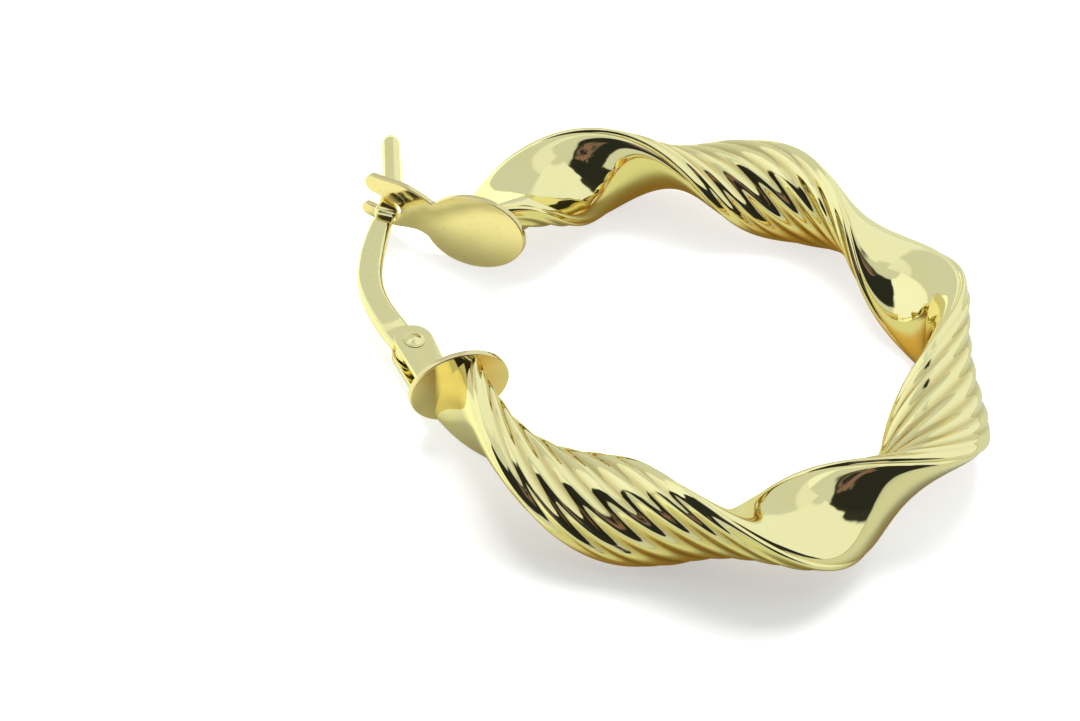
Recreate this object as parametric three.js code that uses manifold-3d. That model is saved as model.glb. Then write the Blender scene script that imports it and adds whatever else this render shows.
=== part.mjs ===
// Hoop earring: a twisted tube bent into a ring, closed by a hinged ear wire. Millimetres, +Z up, lying on its side.
import * as THREE from "three";
import { mergeVertices } from "three/addons/utils/BufferGeometryUtils.js";
import Module from "manifold-3d";

const wasm = await Module();
wasm.setup();

const { cos, sin, PI } = Math;
const RAD = PI / 180;

// Ring: the tube's middle line lies in a level plane, and its two ends face each other across a gap at -X
const RING_RADIUS = 11;
const RING_OVAL = 0.24;
const HINGE_END = 209.6;
const CATCH_END = 519.2;

// Twist: how far the tube has turned after each tenth of the way from the hinge end to the catch end
const TILT_AT_HINGE = 72;
const TWIST = [
  { share: 0, turns: 0 },
  { share: 0.1, turns: 0.248 },
  { share: 0.2, turns: 0.54 },
  { share: 0.3, turns: 0.846 },
  { share: 0.4, turns: 1.152 },
  { share: 0.5, turns: 1.453 },
  { share: 0.6, turns: 1.754 },
  { share: 0.7, turns: 2.06 },
  { share: 0.8, turns: 2.372 },
  { share: 0.9, turns: 2.688 },
  { share: 1, turns: 2.994 },
];

// Tube section: a smooth domed side and a deeper ribbed side, which meet in two rolled edges
const HALF_WIDTH = 2.22;
const EDGE_RADIUS = 0.19;
const EDGE_LEVEL = 0.19;
const DOME_HEIGHT = 0.69;
const DOME_FULLNESS = 0.48;
const RIBBED_DEPTH = 1.36;
const RIBBED_FULLNESS = 1.26;
const RIB_COUNT = 8;
const RIB_HEIGHT = 0.12;

// Reeds drift across the ribbed side by RIB_DRIFT of its half turn, in radians for each mm of tube. They leave a
// plain margin beside each edge and rise over the fade that follows it, both in radians of the same half turn
const RIB_DRIFT = 0.05;
const RIB_MARGIN = 0.3;
const RIB_FADE = 0.4;

// The tube narrows and drops a little where each end plate closes it
const END_SCALE = 0.88;
const END_DROP = 0.14;
const TAPER_LENGTH = 2.4;

// End plates, soldered over the tube's two ends, with their middles set off from the tube's middle line
const PLATE_THICKNESS = 0.29;
const SHEET_EDGE = 0.05;
const HINGE_PLATE = {
  halfLong: 2.27,
  halfShort: 2.0,
  lean: 12,
  out: -0.06,
  up: 0.03,
};
const CATCH_PLATE = {
  halfLong: 2.64,
  halfShort: 1.9,
  lean: -31,
  out: 0.05,
  up: 0,
};

// Ear wire: a flat strip in a level plane, from its eye on the pin through the fork, and a round post. The corners'
// radii are shares of half the thickness, and WIRE_IN_FORK is measured from the catch plate's middle
const WIRE_LEVEL = -0.87;
const WIRE_WIDTH = 1.1;
const WIRE_THICKNESS = 0.6;
const WIRE_IN_FORK = 4.41;
const POST_WIDTH = 0.87;
const EYE_THICKNESS = 0.5;
const EYE_RADIUS = 0.78;
const WIRE_CLEARANCE = 0.1;
const WIRE_CORNER = 0.73;
const POST_CORNER = 0.96;

// Hinge bracket: two ears that stand out from the hinge plate and hold the pin
const EAR_SHEET = 0.26;
const EAR_RADIUS = 0.86;
const EAR_ROOT_WIDTH = 1.4;
const EAR_OFFSET = 0.74;
const EAR_REACH = 3.42;
const PIN_RADIUS = 0.3;
const PIN_CLEARANCE = 0.05;
const PIN_HEAD_RADIUS = 0.4;
const PIN_HEAD_HEIGHT = 0.08;
const PIN_HEAD_CLEARANCE = 0.04;

// Arm of the catch plate: its edges at each distance out from the plate's middle. Shares of FORK_END, of ARM_TOP
// above the middle and of ARM_DEPTH below it
const ARM_TOP = 0.72;
const ARM_DEPTH = 1.95;
const ARM = [
  { out: 0.28, top: 0.972, bottom: 0.897 },
  { out: 0.393, top: 0.667, bottom: 0.769 },
  { out: 0.481, top: 0.833, bottom: 0.733 },
  { out: 0.586, top: 0.972, bottom: 0.821 },
  { out: 0.682, top: 1, bottom: 0.923 },
  { out: 0.804, top: 0.833, bottom: 0.995 },
];

// Fork at the arm's end: two round-ended prongs beside a slot that is open away from the ring
const FORK_END = 5.72;
const UPPER_PRONG = 0.98;
const LOWER_PRONG = 0.68;
const SLOT_START = 3.74;

// Course of the ear wire's middle line, along and aside from the line that joins the pin to the wire's place in the
// fork, as shares of that line's length; the strip's width and thickness as shares of WIRE_WIDTH and WIRE_THICKNESS
const STRIP_COURSE = [
  { along: -0.0055, aside: 0.0107, width: 1.182, thick: 0.833 },
  { along: 0.048, aside: 0.0383, width: 1.2, thick: 0.833 },
  { along: 0.1094, aside: 0.0683, width: 1.182, thick: 0.833 },
  { along: 0.1613, aside: 0.0904, width: 1.127, thick: 1 },
  { along: 0.2175, aside: 0.1113, width: 1.082, thick: 1 },
  { along: 0.2966, aside: 0.137, width: 1.036, thick: 1 },
  { along: 0.3624, aside: 0.1502, width: 1.018, thick: 1 },
  { along: 0.4305, aside: 0.1555, width: 1.009, thick: 1 },
  { along: 0.5122, aside: 0.1508, width: 1, thick: 1 },
  { along: 0.6306, aside: 0.1265, width: 0.982, thick: 1 },
  { along: 0.7396, aside: 0.0945, width: 0.927, thick: 1 },
  { along: 0.8197, aside: 0.0653, width: 0.864, thick: 1 },
  { along: 0.8568, aside: 0.0504, width: 0.83, thick: 1 },
  { along: 0.88, aside: 0.041, width: 0.77, thick: 0.667 },
  { along: 0.9119, aside: 0.0288, width: 0.77, thick: 0.6 },
  { along: 0.9373, aside: 0.0187, width: 0.93, thick: 0.95 },
  { along: 0.9565, aside: 0.0117, width: 0.96, thick: 1.03 },
  { along: 1.0062, aside: -0.0047, width: 0.8, thick: 1 },
];

// The round post beyond the fork: its width and thickness are shares of POST_WIDTH
const POST_COURSE = [
  { along: 1.1263, aside: -0.039, width: 1, thick: 0.828 },
  { along: 1.2294, aside: -0.0514, width: 1, thick: 0.943 },
  { along: 1.3562, aside: -0.064, width: 1, thick: 0.943 },
  { along: 1.4621, aside: -0.0749, width: 0.977, thick: 0.92 },
  { along: 1.5035, aside: -0.0792, width: 0.69, thick: 0.644 },
  { along: 1.515, aside: -0.0804, width: 0.322, thick: 0.299 },
];

// Fineness of the meshes
const STATIONS = 88;
const RIB_STEPS = 5;
const CORNER_STEPS = 3;
const DOME_STEPS = 12;
const ROUND_STEPS = 24;
const HEAD_STEPS = 4;
const OVAL_STEPS = 22;
const BEND_STEPS = 5;
const WIRE_SIDES = 16;
const COURSE_STEPS = 60;

const GOLD = { roughness: 0.12, metalness: 1 };

// A closed geometry as a manifold-3d solid
function solid(geometry) {
  const bare = geometry.index ? geometry.toNonIndexed() : geometry.clone();
  bare.deleteAttribute("normal");
  bare.deleteAttribute("uv");
  const merged = mergeVertices(bare, 1e-4);
  return new wasm.Manifold(
    new wasm.Mesh({
      numProp: 3,
      vertProperties: merged.attributes.position.array,
      triVerts: new Uint32Array(merged.index.array),
    }),
  );
}

// A manifold-3d solid as a three.js geometry
function geometryOf(body) {
  const mesh = body.getMesh();
  const geometry = new THREE.BufferGeometry();
  geometry.setAttribute(
    "position",
    new THREE.BufferAttribute(mesh.vertProperties, mesh.numProp),
  );
  geometry.setIndex(new THREE.BufferAttribute(mesh.triVerts, 1));
  geometry.computeVertexNormals();
  return geometry;
}

// Right-handed frame at a ring angle in degrees: out from the ring's centre, up, and back along the ring
function ringFrame(angle) {
  const a = angle * RAD;
  const out = new THREE.Vector3(cos(a), sin(a), 0);
  const up = new THREE.Vector3(0, 0, 1);
  const back = new THREE.Vector3().crossVectors(out, up);
  const radius = RING_RADIUS + RING_OVAL * cos(2 * a);
  return { out, up, back, centre: out.clone().multiplyScalar(radius) };
}

// Places a flat piece drawn in (out, up) with its thickness along +Z so that it lies across the ring at an angle
function acrossRing(geometry, angle) {
  const { out, up, back, centre } = ringFrame(angle);
  const place = new THREE.Matrix4().makeBasis(out, up, back);
  place.setPosition(centre);
  return geometry.applyMatrix4(place);
}

// Smooth step: 0 up to 0, 1 from 1 on
function eased(value) {
  const part = Math.min(Math.max(value, 0), 1);
  return part * part * (3 - 2 * part);
}

// Smooth curve through the rows of the twist table, whose shares are evenly spaced
const twistCurve = new THREE.CatmullRomCurve3(
  TWIST.map((row) => new THREE.Vector3(row.share, row.turns, 0)),
  false,
  "catmullrom",
  0.5,
);

function twistAt(share) {
  return (TILT_AT_HINGE + 360 * twistCurve.getPoint(share).y) * RAD;
}

// Tube section at a distance along the tube, as points across (u) and outward on the smooth side (n), anticlockwise
function tubeSection(run) {
  const points = [];
  const flank = HALF_WIDTH - EDGE_RADIUS;
  const floor = EDGE_LEVEL - EDGE_RADIUS;
  const depth = RIBBED_DEPTH - EDGE_RADIUS - RIB_HEIGHT;
  const across = RIB_COUNT * RIB_STEPS;
  for (let i = 0; i < across; i += 1) {
    const s = (PI * i) / across;
    const u = -HALF_WIDTH * cos(s);
    const n = floor - depth * sin(s) ** RIBBED_FULLNESS;
    const inside = (Math.min(s, PI - s) - RIB_MARGIN) / RIB_FADE;
    const wave = (1 - cos(2 * RIB_COUNT * (s + RIB_DRIFT * run))) / 2;
    const rib = RIB_HEIGHT * wave * eased(inside);
    points.push([u - rib * cos(s), n - rib * sin(s)]);
  }
  for (let i = 0; i <= CORNER_STEPS; i += 1) {
    const g = (PI / 2) * (i / CORNER_STEPS);
    points.push([flank + EDGE_RADIUS * cos(g), floor + EDGE_RADIUS * sin(g)]);
  }
  for (let i = 1; i < DOME_STEPS; i += 1) {
    const x = cos((PI * i) / DOME_STEPS);
    const rise = DOME_HEIGHT * (1 - x * x) ** DOME_FULLNESS;
    points.push([flank * x, EDGE_LEVEL + rise]);
  }
  for (let i = CORNER_STEPS; i > 0; i -= 1) {
    const g = (PI / 2) * (i / CORNER_STEPS);
    points.push([-flank - EDGE_RADIUS * cos(g), floor + EDGE_RADIUS * sin(g)]);
  }
  return points;
}

// Closed skin over rings of points that all have the same count, with a fan over each end
function skin(rings) {
  const count = rings[0].length;
  const position = [];
  const index = [];
  rings.forEach((ring) => ring.forEach((p) => position.push(p.x, p.y, p.z)));
  for (let i = 0; i + 1 < rings.length; i += 1) {
    for (let j = 0; j < count; j += 1) {
      const k = (j + 1) % count;
      const a = i * count + j;
      const b = i * count + k;
      index.push(a, a + count, b, b, a + count, b + count);
    }
  }
  const ends = [0, rings.length - 1];
  ends.forEach((end) => {
    const middle = rings[end]
      .reduce((sum, p) => sum.add(p), new THREE.Vector3())
      .divideScalar(count);
    const hub = position.length / 3;
    position.push(middle.x, middle.y, middle.z);
    for (let j = 0; j < count; j += 1) {
      const a = end * count + j;
      const b = end * count + ((j + 1) % count);
      if (end === 0) index.push(hub, a, b);
      else index.push(hub, b, a);
    }
  });
  const geometry = new THREE.BufferGeometry();
  geometry.setAttribute(
    "position",
    new THREE.Float32BufferAttribute(position, 3),
  );
  geometry.setIndex(index);
  return geometry;
}

// The twisted tube, from the middle of one end plate to the middle of the other
function tube() {
  const sunk = PLATE_THICKNESS / 2 / RING_RADIUS / RAD;
  const start = HINGE_END - sunk;
  const stop = CATCH_END - sunk;
  const length = (stop - start) * RAD * RING_RADIUS;
  const rings = [];
  for (let i = 0; i <= STATIONS; i += 1) {
    const share = i / STATIONS;
    const { out, up, centre } = ringFrame(start + share * (stop - start));
    const turn = twistAt(share);
    const full = eased((length * Math.min(share, 1 - share)) / TAPER_LENGTH);
    const size = END_SCALE + (1 - END_SCALE) * full;
    centre.z -= END_DROP * (1 - full);
    const u = out.clone().multiplyScalar(size * cos(turn));
    u.addScaledVector(up, -size * sin(turn));
    const n = out.clone().multiplyScalar(size * sin(turn));
    n.addScaledVector(up, size * cos(turn));
    rings.push(
      tubeSection(length * share).map(([x, y]) =>
        centre.clone().addScaledVector(u, x).addScaledVector(n, y),
      ),
    );
  }
  return skin(rings);
}

// A flat shape as a sheet with eased rims, from z = 0 to its thickness
function sheet(shape, thickness, curveSegments) {
  const geometry = new THREE.ExtrudeGeometry(shape, {
    depth: thickness - 2 * SHEET_EDGE,
    bevelThickness: SHEET_EDGE,
    bevelSize: SHEET_EDGE,
    bevelOffset: -SHEET_EDGE,
    bevelSegments: 1,
    curveSegments,
  });
  return geometry.translate(0, 0, SHEET_EDGE);
}

function ovalShape({ halfLong, halfShort, lean, out, up }) {
  const shape = new THREE.Shape();
  shape.absellipse(out, up, halfLong, halfShort, 0, 2 * PI, false, lean * RAD);
  return shape;
}

function hingePlate() {
  const plate = sheet(ovalShape(HINGE_PLATE), PLATE_THICKNESS, OVAL_STEPS);
  return acrossRing(plate, HINGE_END);
}

// Catch plate with its arm and fork, drawn in (out, up) from the plate's middle
function catchPlate() {
  const slotHalf = WIRE_THICKNESS / 2 + WIRE_CLEARANCE;
  const slotTop = WIRE_LEVEL + slotHalf;
  const slotBottom = WIRE_LEVEL - slotHalf;
  const upper = UPPER_PRONG / 2;
  const lower = LOWER_PRONG / 2;
  const slotEnd = SLOT_START + slotHalf;

  const arm = new THREE.Shape();
  const under = ARM.map(
    (row) => new THREE.Vector2(row.out * FORK_END, -row.bottom * ARM_DEPTH),
  );
  const over = ARM.map(
    (row) => new THREE.Vector2(row.out * FORK_END, row.top * ARM_TOP),
  ).reverse();
  arm.moveTo(under[0].x, under[0].y);
  arm.splineThru(under.slice(1));
  arm.absarc(
    FORK_END - lower,
    slotBottom - lower,
    lower,
    -PI / 2,
    PI / 2,
    false,
  );
  arm.absarc(slotEnd, WIRE_LEVEL, slotHalf, -PI / 2, PI / 2, true);
  arm.absarc(FORK_END - upper, slotTop + upper, upper, -PI / 2, PI / 2, false);
  arm.lineTo(over[0].x, over[0].y);
  arm.splineThru(over.slice(1));
  arm.closePath();

  const plate = sheet(ovalShape(CATCH_PLATE), PLATE_THICKNESS, OVAL_STEPS);
  const fork = sheet(arm, PLATE_THICKNESS, BEND_STEPS);
  return [plate, fork].map((piece) => acrossRing(piece, CATCH_END));
}

// Pin axis in the level plane
function pinPlace() {
  const { out, back, centre } = ringFrame(HINGE_END);
  return centre
    .clone()
    .addScaledVector(out, EAR_OFFSET)
    .addScaledVector(back, EAR_REACH);
}
const pin = pinPlace();

const earGap = EYE_THICKNESS + 2 * WIRE_CLEARANCE;
const earTop = WIRE_LEVEL + earGap / 2 + EAR_SHEET;
const earBottom = WIRE_LEVEL - earGap / 2 - EAR_SHEET;

// One ear as a level tab with a round end about the pin and a hole for it
function ear(level) {
  const { out, back } = ringFrame(HINGE_END);
  const rooted = PLATE_THICKNESS / 2 - EAR_REACH;
  const shape = new THREE.Shape();
  shape.moveTo(-EAR_RADIUS, rooted);
  shape.lineTo(EAR_ROOT_WIDTH - EAR_RADIUS, rooted);
  shape.lineTo(EAR_RADIUS, 0);
  shape.absarc(0, 0, EAR_RADIUS, 0, PI, false);
  shape.closePath();
  const hole = new THREE.Path();
  hole.absarc(0, 0, PIN_RADIUS + PIN_CLEARANCE, 0, 2 * PI, true);
  shape.holes.push(hole);
  const down = new THREE.Vector3(0, 0, -1);
  const place = new THREE.Matrix4().makeBasis(out, back, down);
  place.setPosition(pin.x, pin.y, level + EAR_SHEET);
  return sheet(shape, EAR_SHEET, BEND_STEPS).applyMatrix4(place);
}

// Rows of the ear wire's course in mm, laid out from the pin to the wire's place in the fork and on to the post's tip
function wireRows() {
  const { out, up, centre } = ringFrame(CATCH_END);
  const reach = centre.addScaledVector(out, WIRE_IN_FORK).sub(pin);
  const aside = new THREE.Vector3().crossVectors(up, reach);
  const laid = (rows, width, thick, corner) =>
    rows.map((row) => ({
      place: pin
        .clone()
        .addScaledVector(reach, row.along)
        .addScaledVector(aside, row.aside),
      width: row.width * width,
      thick: row.thick * thick,
      corner,
    }));
  return [
    ...laid(STRIP_COURSE, WIRE_WIDTH, WIRE_THICKNESS, WIRE_CORNER),
    ...laid(POST_COURSE, POST_WIDTH, POST_WIDTH, POST_CORNER),
  ];
}

// Ear wire's strip: a rounded section carried along its course
function wireStrip() {
  const rows = wireRows();
  const course = new THREE.CatmullRomCurve3(
    rows.map((row) => row.place),
    false,
    "centripetal",
  );
  const last = rows.length - 1;
  const rings = [];
  const up = new THREE.Vector3(0, 0, 1);
  for (let i = 0; i <= COURSE_STEPS; i += 1) {
    const t = i / COURSE_STEPS;
    const row = Math.min(Math.floor(t * last), last - 1);
    const from = rows[row];
    const to = rows[row + 1];
    const ease = eased(t * last - row);
    const between = (key) => from[key] + (to[key] - from[key]) * ease;
    const halfWidth = between("width") / 2;
    const halfThick = between("thick") / 2;
    const corner = between("corner") * halfThick;
    const middle = course.getPoint(t);
    middle.z = WIRE_LEVEL;
    const side = new THREE.Vector3().crossVectors(course.getTangent(t), up);
    const ring = [];
    for (let j = 0; j < WIRE_SIDES; j += 1) {
      const a = (2 * PI * (j + 0.5)) / WIRE_SIDES;
      const x = halfWidth - corner;
      const y = halfThick - corner;
      ring.push(
        middle
          .clone()
          .addScaledVector(side, Math.sign(cos(a)) * x + corner * cos(a))
          .addScaledVector(up, Math.sign(sin(a)) * y + corner * sin(a)),
      );
    }
    rings.push(ring);
  }
  return skin(rings);
}

function roundBar(radius, low, high) {
  const profile = [
    new THREE.Vector2(0, low),
    new THREE.Vector2(radius, low),
    new THREE.Vector2(radius, high),
    new THREE.Vector2(0, high),
  ];
  return new THREE.LatheGeometry(profile, ROUND_STEPS)
    .rotateX(PI / 2)
    .translate(pin.x, pin.y, 0);
}

function wireEye() {
  const low = WIRE_LEVEL - EYE_THICKNESS / 2;
  const high = WIRE_LEVEL + EYE_THICKNESS / 2;
  return roundBar(EYE_RADIUS, low, high);
}

// Pin with a domed head at each end
function pinGeometry() {
  const low = earBottom - PIN_HEAD_CLEARANCE;
  const high = earTop + PIN_HEAD_CLEARANCE;
  const profile = [new THREE.Vector2(0, low - PIN_HEAD_HEIGHT)];
  for (let i = 1; i <= HEAD_STEPS; i += 1) {
    const a = (PI / 2) * (i / HEAD_STEPS);
    profile.push(
      new THREE.Vector2(
        PIN_HEAD_RADIUS * sin(a),
        low - PIN_HEAD_HEIGHT * cos(a),
      ),
    );
  }
  profile.push(new THREE.Vector2(PIN_RADIUS, low));
  profile.push(new THREE.Vector2(PIN_RADIUS, high));
  for (let i = HEAD_STEPS; i >= 0; i -= 1) {
    const a = (PI / 2) * (i / HEAD_STEPS);
    profile.push(
      new THREE.Vector2(
        PIN_HEAD_RADIUS * sin(a),
        high + PIN_HEAD_HEIGHT * cos(a),
      ),
    );
  }
  return new THREE.LatheGeometry(profile, ROUND_STEPS)
    .rotateX(PI / 2)
    .translate(pin.x, pin.y, 0);
}

function gold(name, geometry, colour) {
  const material = new THREE.MeshStandardMaterial({ color: colour, ...GOLD });
  const mesh = new THREE.Mesh(geometry, material);
  mesh.name = name;
  return mesh;
}

const hoopBody = [
  tube(),
  hingePlate(),
  ...catchPlate(),
  ear(earTop - EAR_SHEET),
  ear(earBottom),
]
  .map(solid)
  .reduce((whole, piece) => whole.add(piece));

const eyeHole = roundBar(
  PIN_RADIUS + 2 * PIN_CLEARANCE,
  earBottom,
  earTop,
);
const wireBody = solid(wireStrip()).add(solid(wireEye())).subtract(solid(eyeHole));

const earring = new THREE.Group();
earring.add(
  gold("hoop", geometryOf(hoopBody), "#d9cf86"),
  gold("ear_wire", geometryOf(wireBody), "#d6cd8a"),
  gold("hinge_pin", pinGeometry(), "#d9cf86"),
);

// Origin at the middle of the underside
const box = new THREE.Box3().setFromObject(earring);
const middle = box.getCenter(new THREE.Vector3());
earring.position.set(-middle.x, -middle.y, -box.min.z);

export default earring;
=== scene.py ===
"""Gold hoop earring: a twisted ribbed tube closed by a hinged ear wire, on its side under soft light."""

import math

import bpy
import numpy as np
from bpy.props import FloatProperty, FloatVectorProperty, IntProperty, PointerProperty
from mathutils import Matrix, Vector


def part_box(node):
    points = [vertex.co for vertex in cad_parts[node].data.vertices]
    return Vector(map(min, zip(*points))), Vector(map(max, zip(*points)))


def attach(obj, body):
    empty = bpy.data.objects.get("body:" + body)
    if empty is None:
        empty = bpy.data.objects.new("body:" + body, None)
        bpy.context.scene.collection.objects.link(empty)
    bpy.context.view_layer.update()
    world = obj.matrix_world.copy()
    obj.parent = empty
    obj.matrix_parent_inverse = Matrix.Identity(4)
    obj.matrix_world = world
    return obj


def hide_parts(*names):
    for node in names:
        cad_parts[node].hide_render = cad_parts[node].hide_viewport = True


bl_info = {
    "name": "Twisted Hoop Earring",
    "version": (1, 0, 0),
    "blender": (4, 5, 0),
    "location": "View3D > Sidebar > Earring",
    "description": "Dresses the hoop earring's fixed frame in polished gold, in a pale studio",
    "category": "Object",
}

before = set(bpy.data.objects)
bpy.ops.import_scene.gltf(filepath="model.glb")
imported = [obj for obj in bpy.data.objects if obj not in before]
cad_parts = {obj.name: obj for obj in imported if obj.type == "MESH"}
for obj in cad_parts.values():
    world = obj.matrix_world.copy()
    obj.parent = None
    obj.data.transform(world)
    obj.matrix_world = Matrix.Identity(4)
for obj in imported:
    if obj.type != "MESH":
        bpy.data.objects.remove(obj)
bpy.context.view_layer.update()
MM = 0.001
UP = np.array([0.0, 0.0, 1.0])

# Turns of the twist after each tenth of the way from the hinge end to the catch end
TURNS = np.array([0, 0.248, 0.54, 0.846, 1.152, 1.453, 1.754, 2.06, 2.372, 2.688, 2.994])

# Arm of the catch plate, row by row: distance out as a share of the fork's end, upper edge as a share of
# the arm's top, lower edge as a share of its depth
ARM = np.array(
    [
        (0.28, 0.972, 0.897),
        (0.393, 0.667, 0.769),
        (0.481, 0.833, 0.733),
        (0.586, 0.972, 0.821),
        (0.682, 1, 0.923),
        (0.804, 0.833, 0.995),
    ]
)

# Course of the ear wire's strip, row by row: along and aside from the line between the pin and the fork,
# as shares of its length, then width and thickness as shares of the strip's
STRIP = np.array(
    [
        (-0.0055, 0.0107, 1.182, 0.833),
        (0.048, 0.0383, 1.2, 0.833),
        (0.1094, 0.0683, 1.182, 0.833),
        (0.1613, 0.0904, 1.127, 1),
        (0.2175, 0.1113, 1.082, 1),
        (0.2966, 0.137, 1.036, 1),
        (0.3624, 0.1502, 1.018, 1),
        (0.4305, 0.1555, 1.009, 1),
        (0.5122, 0.1508, 1, 1),
        (0.6306, 0.1265, 0.982, 1),
        (0.7396, 0.0945, 0.927, 1),
        (0.8197, 0.0653, 0.864, 1),
        (0.8568, 0.0504, 0.83, 1),
        (0.88, 0.041, 0.77, 0.667),
        (0.9119, 0.0288, 0.77, 0.6),
        (0.9373, 0.0187, 0.93, 0.95),
        (0.9565, 0.0117, 0.96, 1.03),
        (1.0062, -0.0047, 0.8, 1),
    ]
)

# The same for the post beyond the fork, whose width and thickness are shares of the post's width
POST = np.array(
    [
        (1.1263, -0.039, 1, 0.828),
        (1.2294, -0.0514, 1, 0.943),
        (1.3562, -0.064, 1, 0.943),
        (1.4621, -0.0749, 0.977, 0.92),
        (1.5035, -0.0792, 0.69, 0.644),
        (1.515, -0.0804, 0.322, 0.299),
    ]
)

# How finely the surfaces are drawn
TUBE_STATIONS = 460
REED_STEPS = 12
DOME_STEPS = 60
ROLL_STEPS = 7
WIRE_STATIONS = 420
CORNER_STEPS = 8
OUTLINE_STEP = 0.04 * MM
FORK_STEP = 0.03 * MM


def length(label, text, mm):
    """A size in millimetres, kept in metres."""
    return FloatProperty(
        name=label, description=text, default=mm * MM, subtype="DISTANCE", unit="LENGTH", precision=5
    )


def number(label, text, value):
    """A bare number, such as a share or a power."""
    return FloatProperty(name=label, description=text, default=value)


def angle(label, text, degrees):
    """An angle in degrees, kept in radians."""
    return FloatProperty(
        name=label, description=text, default=math.radians(degrees), subtype="ANGLE", unit="ROTATION"
    )


def colour(label, text, rgb):
    """A colour as linear red, green and blue."""
    return FloatVectorProperty(
        name=label, description=text, default=rgb, size=3, subtype="COLOR", min=0, max=1
    )


def place(label, text, mm):
    """A place in millimetres, kept in metres."""
    metres = tuple(part * MM for part in mm)
    return FloatVectorProperty(
        name=label, description=text, default=metres, size=3, subtype="TRANSLATION", unit="LENGTH"
    )


class TubeSizes(bpy.types.PropertyGroup):
    radius: length("Ring radius", "From the ring's centre to the middle of the tube", 11)
    oval: length("Ring oval", "How much longer the ring is than wide, halved", 0.24)
    hinge_end: angle("Hinge end", "Where along the ring the tube begins", 209.6)
    catch_end: angle("Catch end", "Where along the ring the tube ends", 519.2)
    tilt: angle("Tilt at hinge", "How far the section is turned where the tube begins", 72)
    half_width: length("Half width", "Half the tube's width, edge to edge", 2.22)
    edge_radius: length("Edge radius", "Radius of the rolled edges", 0.19)
    edge_level: length("Edge level", "Height of the rolled edges over the middle line", 0.19)
    dome_height: length("Dome height", "Rise of the smooth side over its edges", 0.69)
    dome_fullness: number("Dome fullness", "Power that shapes the smooth side", 0.48)
    ribbed_depth: length("Ribbed depth", "Depth of the ribbed side", 1.36)
    ribbed_fullness: number("Ribbed fullness", "Power that shapes the ribbed side", 1.26)
    ribs: IntProperty(name="Ribs", description="Reeds along the ribbed side", default=8, min=1)
    rib_height: length("Rib height", "How far a reed stands out", 0.12)
    drift: number("Rib drift", "Drift of the reeds across the ribbed side, in radians per metre", 50)
    margin: number("Rib margin", "Plain margin beside each edge, in radians of the half turn", 0.3)
    fade: number("Rib fade", "Radians over which the reeds rise from the plain margin", 0.4)
    end_scale: number("End scale", "Size of the section where a plate closes it", 0.88)
    end_drop: length("End drop", "How far the middle line sinks at each end", 0.14)
    taper: length("Taper length", "Length over which the ends narrow", 2.4)


class PlateSizes(bpy.types.PropertyGroup):
    thickness: length("Thickness", "Sheet of the end plates, arm and fork", 0.29)
    rim: length("Rim radius", "Easing of the sheet's rims", 0.06)
    hinge_long: length("Hinge plate long", "Long half axis of the hinge plate", 2.27)
    hinge_short: length("Hinge plate short", "Short half axis of the hinge plate", 2.0)
    hinge_lean: angle("Hinge plate lean", "Turn of the hinge plate's long axis", 12)
    hinge_out: length("Hinge plate out", "How far the hinge plate sits outside the middle line", -0.06)
    hinge_up: length("Hinge plate up", "How far the hinge plate sits over the middle line", 0.03)
    catch_long: length("Catch plate long", "Long half axis of the catch plate", 2.64)
    catch_short: length("Catch plate short", "Short half axis of the catch plate", 1.9)
    catch_lean: angle("Catch plate lean", "Turn of the catch plate's long axis", -31)
    catch_out: length("Catch plate out", "How far the catch plate sits outside the middle line", 0.05)
    arm_start: number("Arm start", "Where the arm's edges leave the oval, as a share of its rows", 0.18)
    arm_top: length("Arm top", "Highest point of the arm over the catch plate's middle", 0.72)
    arm_depth: length("Arm depth", "Lowest point of the arm under the catch plate's middle", 1.95)
    fork_end: length("Fork end", "From the catch plate's middle to the fork's tip", 5.72)
    upper_prong: length("Upper prong", "Height of the upper prong", 0.98)
    lower_prong: length("Lower prong", "Height of the lower prong", 0.68)
    slot_start: length("Slot start", "From the catch plate's middle to the slot's end", 3.74)
    soften: length("Outline softening", "Reach of the mean that softens the outline's corners", 0.06)


class HingeSizes(bpy.types.PropertyGroup):
    ear_sheet: length("Ear sheet", "Thickness of the bracket's two ears", 0.26)
    ear_radius: length("Ear radius", "Round end of an ear", 0.86)
    ear_root: length("Ear root", "Width of an ear at the plate", 1.4)
    ear_rim: length("Ear rim", "Easing of an ear's rims", 0.05)
    soften: length("Outline softening", "Reach of the mean that softens an ear's corners", 0.05)
    offset: length("Pin offset", "Pin's distance outside the tube's middle", 0.74)
    reach: length("Pin reach", "Pin's distance from the hinge plate's back", 3.42)
    pin_radius: length("Pin radius", "Radius of the rivet", 0.3)
    head_radius: length("Head radius", "Radius of the rivet's heads", 0.46)
    head_height: length("Head height", "Height of the rivet's heads", 0.12)
    head_swell: number("Head swell", "Half the rise of a head's bell, as a share of its height", 0.55)
    head_level: number("Head level", "Middle of that rise, as a share of the head's height", 0.4)
    clearance: length("Clearance", "Running gap round the pin, twice as wide in the eye", 0.05)


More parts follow.
